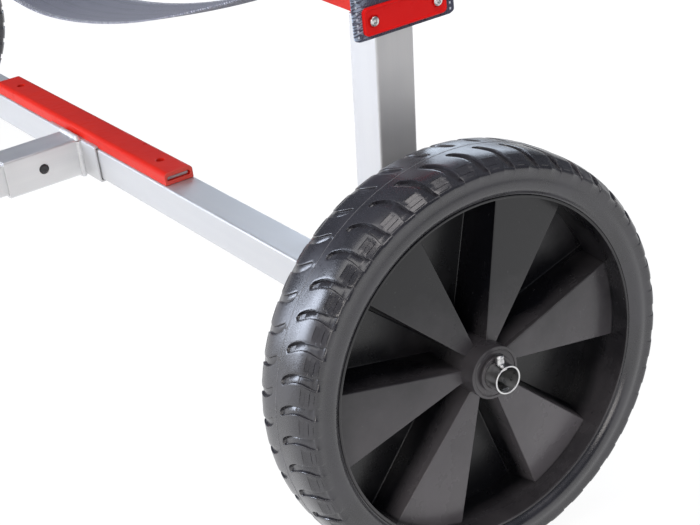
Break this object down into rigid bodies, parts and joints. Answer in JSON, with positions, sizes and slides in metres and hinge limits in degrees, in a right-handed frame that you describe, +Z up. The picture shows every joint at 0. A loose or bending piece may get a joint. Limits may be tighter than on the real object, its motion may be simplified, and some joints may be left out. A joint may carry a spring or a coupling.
{
  "type": "dinghy launching trolley",
  "caption": "Hand trolley for launching a dinghy: tubular cross beam with webbing hull sling, padded heads, moulded wheels and a long drawbar with bow rest and handle",
  "frame": {"origin": "on the ground, under the middle of the trolley's length and width", "axes": "+Z up; the axle lies along X; the drawbar leads to -Y, so +Y is towards the boat's stern; +X is the side of the pictured wheel"},
  "size_m": [1.5974, 2.7496, 0.5208],
  "materials": {
    "aluminium": "anodised, satin",
    "black_nylon": "moulded, matt",
    "black_plastic": "moulded, slight sheen",
    "grip_rubber": "matt",
    "red_pvc": "extruded PVC, low sheen",
    "steel": "stainless, bright",
    "tyre_rubber": "tread rubber",
    "webbing": "woven polyester"
  },
  "bodies": {
    "frame": {"axle_bolt_left": "steel", "axle_bolt_right": "steel", "axle_bush_inner_left": "black_nylon", "axle_bush_inner_right": "black_nylon", "axle_bush_outer_left": "black_nylon", "axle_bush_outer_right": "black_nylon", "axle_nut_left": "steel", "axle_nut_right": "steel", "axle_pin_spring_left": "steel", "axle_pin_spring_right": "steel", "axle_spacer_left": "black_nylon", "axle_spacer_right": "black_nylon", "clamp_plate_left": "red_pvc", "clamp_plate_right": "red_pvc", "clamp_screw_left_front": "steel", "clamp_screw_left_rear": "steel", "clamp_screw_right_front": "steel", "clamp_screw_right_rear": "steel", "cross_beam": "aluminium", "drawbar": "aluminium", "drawbar_button_spring": "steel", "drawbar_socket": "aluminium", "grip_left": "grip_rubber", "grip_right": "grip_rubber", "handle_screw": "steel", "handle_tee": "black_plastic", "handle_tube": "aluminium", "head_bracket_left": "aluminium", "head_bracket_right": "aluminium", "head_pad_left": "red_pvc", "head_pad_right": "red_pvc", "keel_pad": "red_pvc", "keel_pad_screw_left": "steel", "keel_pad_screw_right": "steel", "keel_strip": "aluminium", "sling": "webbing", "stub_axle_left": "steel", "stub_axle_right": "steel", "tee_bolt": "steel", "tee_nut": "steel", "tee_sleeve": "aluminium", "upright_left": "aluminium", "upright_right": "aluminium"},
    "wheel_left": {"tyre_left": "tyre_rubber", "wheel_rim_left": "black_plastic", "hub_bush_inner_left": "black_plastic", "hub_bush_outer_left": "black_plastic"},
    "wheel_right": {"tyre_right": "tyre_rubber", "wheel_rim_right": "black_plastic", "hub_bush_inner_right": "black_plastic", "hub_bush_outer_right": "black_plastic"},
    "axle_pin_left": {"axle_pin_left": "steel"},
    "axle_pin_right": {"axle_pin_right": "steel"},
    "drawbar_button": {"drawbar_button": "black_plastic"},
    "bow_support": {"bow_support": "aluminium", "bow_pad_left": "red_pvc", "bow_pad_right": "red_pvc"},
    "bow_knob": {"bow_knob": "black_plastic"}
  },
  "joints": [
    {"name": "wheel_spin_left", "type": "hinge", "parent": "frame", "child": "wheel_left", "pos_m": [-0.7421, 1.18983, 0.185], "axis": [1, 0, 0], "continuous": true},
    {"name": "axle_pin_press_left", "type": "slide", "parent": "frame", "child": "axle_pin_left", "axis": [0, 0.0647, -0.9979], "range_m": [0, 0.0078], "stiffness_N_per_m": 800, "springref_m": -0.008, "deforming": ["axle_pin_spring_left"]},
    {"name": "wheel_spin_right", "type": "hinge", "parent": "frame", "child": "wheel_right", "pos_m": [0.7421, 1.18983, 0.185], "axis": [1, 0, 0], "continuous": true},
    {"name": "axle_pin_press_right", "type": "slide", "parent": "frame", "child": "axle_pin_right", "axis": [0, 0.0647, -0.9979], "range_m": [0, 0.0078], "stiffness_N_per_m": 800, "springref_m": -0.008, "deforming": ["axle_pin_spring_right"]},
    {"name": "drawbar_button_press", "type": "slide", "parent": "frame", "child": "drawbar_button", "axis": [-1, 0, 0], "range_m": [0, 0.0046], "stiffness_N_per_m": 600, "springref_m": -0.012, "deforming": ["drawbar_button_spring"]},
    {"name": "bow_support_slide", "type": "slide", "parent": "frame", "child": "bow_support", "axis": [0, 0.9979, 0.0647], "range_m": [-0.34, 1.95]},
    {"name": "bow_knob_turn", "type": "hinge", "parent": "bow_support", "child": "bow_knob", "pos_m": [0.029, -0.93571, 0.04718], "axis": [1, 0, 0], "range_deg": [0, 720]}
  ]
}
